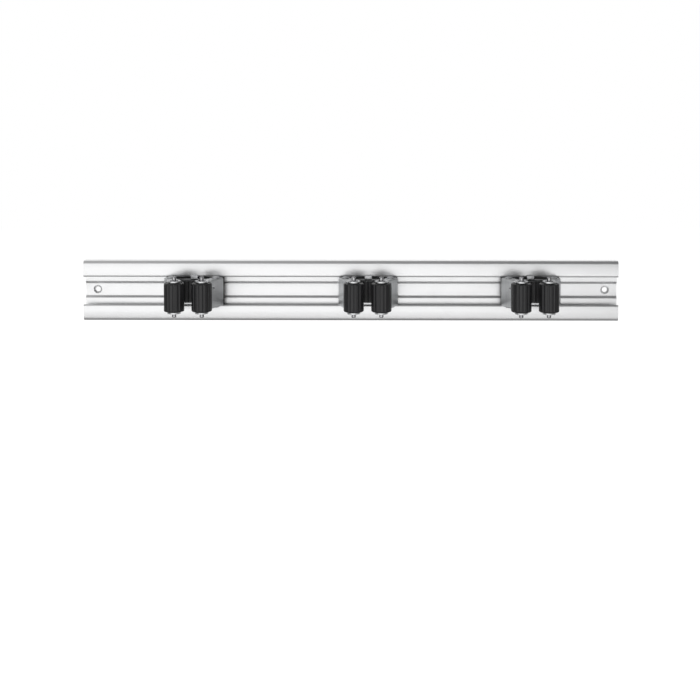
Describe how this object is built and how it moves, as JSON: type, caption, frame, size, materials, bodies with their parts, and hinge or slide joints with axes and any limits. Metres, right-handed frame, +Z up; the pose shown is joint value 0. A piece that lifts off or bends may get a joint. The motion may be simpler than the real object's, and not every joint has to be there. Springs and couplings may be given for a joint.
{
  "type": "wall mop holder rack",
  "caption": "Aluminium wall rail with sliding holders, each gripping an upright mop or broom handle between two spring-closed rubber rollers and a back pad.",
  "frame": {"origin": "on the wall plane, midway between the two wall screw holes of the rail", "axes": "+X along the rail to the right as seen from the room, +Y into the wall, +Z up"},
  "size_m": [0.5, 0.0562, 0.056],
  "materials": {
    "anodised_aluminium": "satin silver anodised extrusion with fine lines along its length",
    "zinc_steel": "bright zinc-plated sheet and pins",
    "black_coated_steel": "steel plate with a matte black coating",
    "spring_steel": "drawn spring steel",
    "black_rubber": "moulded matte rubber",
    "black_plastic": "moulded nylon"
  },
  "bodies": {
    "rail": {"rail": "anodised_aluminium"},
    "holder_1": {"slider_plate_1": "black_coated_steel", "clamp_screw_1": "zinc_steel", "bracket_1": "zinc_steel", "back_pad_1": "black_rubber", "pivot_rivet_left_1": "zinc_steel", "pivot_rivet_right_1": "zinc_steel", "spring_left_1": "spring_steel", "spring_right_1": "spring_steel"},
    "jaw_left_1": {"arm_left_1": "zinc_steel", "axle_left_1": "zinc_steel", "axle_clips_left_1": "spring_steel"},
    "roller_left_1": {"bush_left_1": "black_plastic", "roller_left_1": "black_rubber"},
    "jaw_right_1": {"arm_right_1": "zinc_steel", "axle_right_1": "zinc_steel", "axle_clips_right_1": "spring_steel"},
    "roller_right_1": {"bush_right_1": "black_plastic", "roller_right_1": "black_rubber"},
    "holder_2": {"slider_plate_2": "black_coated_steel", "clamp_screw_2": "zinc_steel", "bracket_2": "zinc_steel", "back_pad_2": "black_rubber", "pivot_rivet_left_2": "zinc_steel", "pivot_rivet_right_2": "zinc_steel", "spring_left_2": "spring_steel", "spring_right_2": "spring_steel"},
    "jaw_left_2": {"arm_left_2": "zinc_steel", "axle_left_2": "zinc_steel", "axle_clips_left_2": "spring_steel"},
    "roller_left_2": {"bush_left_2": "black_plastic", "roller_left_2": "black_rubber"},
    "jaw_right_2": {"arm_right_2": "zinc_steel", "axle_right_2": "zinc_steel", "axle_clips_right_2": "spring_steel"},
    "roller_right_2": {"bush_right_2": "black_plastic", "roller_right_2": "black_rubber"},
    "holder_3": {"slider_plate_3": "black_coated_steel", "clamp_screw_3": "zinc_steel", "bracket_3": "zinc_steel", "back_pad_3": "black_rubber", "pivot_rivet_left_3": "zinc_steel", "pivot_rivet_right_3": "zinc_steel", "spring_left_3": "spring_steel", "spring_right_3": "spring_steel"},
    "jaw_left_3": {"arm_left_3": "zinc_steel", "axle_left_3": "zinc_steel", "axle_clips_left_3": "spring_steel"},
    "roller_left_3": {"bush_left_3": "black_plastic", "roller_left_3": "black_rubber"},
    "jaw_right_3": {"arm_right_3": "zinc_steel", "axle_right_3": "zinc_steel", "axle_clips_right_3": "spring_steel"},
    "roller_right_3": {"bush_right_3": "black_plastic", "roller_right_3": "black_rubber"}
  },
  "joints": [
    {"name": "holder_slide_1", "type": "slide", "parent": "rail", "child": "holder_1", "axis": [1, 0, 0], "range_m": [-0.075, 0.04]},
    {"name": "jaw_hinge_left_1", "type": "hinge", "parent": "holder_1", "child": "jaw_left_1", "pos_m": [-0.1667, -0.0185, 0], "axis": [0, 0, -1], "range_deg": [0, 25], "stiffness_Nm_per_rad": 0.5, "springref_deg": -28.65, "deforming": ["spring_left_1"]},
    {"name": "roller_spin_left_1", "type": "hinge", "parent": "jaw_left_1", "child": "roller_left_1", "pos_m": [-0.1583, -0.047, 0], "axis": [0, 0, 1], "continuous": true},
    {"name": "jaw_hinge_right_1", "type": "hinge", "parent": "holder_1", "child": "jaw_right_1", "pos_m": [-0.1249, -0.0185, 0], "axis": [0, 0, 1], "range_deg": [0, 25], "stiffness_Nm_per_rad": 0.5, "springref_deg": -28.65, "deforming": ["spring_right_1"]},
    {"name": "roller_spin_right_1", "type": "hinge", "parent": "jaw_right_1", "child": "roller_right_1", "pos_m": [-0.1333, -0.047, 0], "axis": [0, 0, 1], "continuous": true},
    {"name": "holder_slide_2", "type": "slide", "parent": "rail", "child": "holder_2", "axis": [1, 0, 0], "range_m": [-0.04, 0.04]},
    {"name": "jaw_hinge_left_2", "type": "hinge", "parent": "holder_2", "child": "jaw_left_2", "pos_m": [-0.0042, -0.0185, 0], "axis": [0, 0, -1], "range_deg": [0, 25], "stiffness_Nm_per_rad": 0.5, "springref_deg": -28.65, "deforming": ["spring_left_2"]},
    {"name": "roller_spin_left_2", "type": "hinge", "parent": "jaw_left_2", "child": "roller_left_2", "pos_m": [0.0042, -0.047, 0], "axis": [0, 0, 1], "continuous": true},
    {"name": "jaw_hinge_right_2", "type": "hinge", "parent": "holder_2", "child": "jaw_right_2", "pos_m": [0.0376, -0.0185, 0], "axis": [0, 0, 1], "range_deg": [0, 25], "stiffness_Nm_per_rad": 0.5, "springref_deg": -28.65, "deforming": ["spring_right_2"]},
    {"name": "roller_spin_right_2", "type": "hinge", "parent": "jaw_right_2", "child": "roller_right_2", "pos_m": [0.0292, -0.047, 0], "axis": [0, 0, 1], "continuous": true},
    {"name": "holder_slide_3", "type": "slide", "parent": "rail", "child": "holder_3", "axis": [1, 0, 0], "range_m": [-0.04, 0.05]},
    {"name": "jaw_hinge_left_3", "type": "hinge", "parent": "holder_3", "child": "jaw_left_3", "pos_m": [0.1471, -0.0185, 0], "axis": [0, 0, -1], "range_deg": [0, 25], "stiffness_Nm_per_rad": 0.5, "springref_deg": -28.65, "deforming": ["spring_left_3"]},
    {"name": "roller_spin_left_3", "type": "hinge", "parent": "jaw_left_3", "child": "roller_left_3", "pos_m": [0.1555, -0.047, 0], "axis": [0, 0, 1], "continuous": true},
    {"name": "jaw_hinge_right_3", "type": "hinge", "parent": "holder_3", "child": "jaw_right_3", "pos_m": [0.1889, -0.0185, 0], "axis": [0, 0, 1], "range_deg": [0, 25], "stiffness_Nm_per_rad": 0.5, "springref_deg": -28.65, "deforming": ["spring_right_3"]},
    {"name": "roller_spin_right_3", "type": "hinge", "parent": "jaw_right_3", "child": "roller_right_3", "pos_m": [0.1805, -0.047, 0], "axis": [0, 0, 1], "continuous": true}
  ]
}
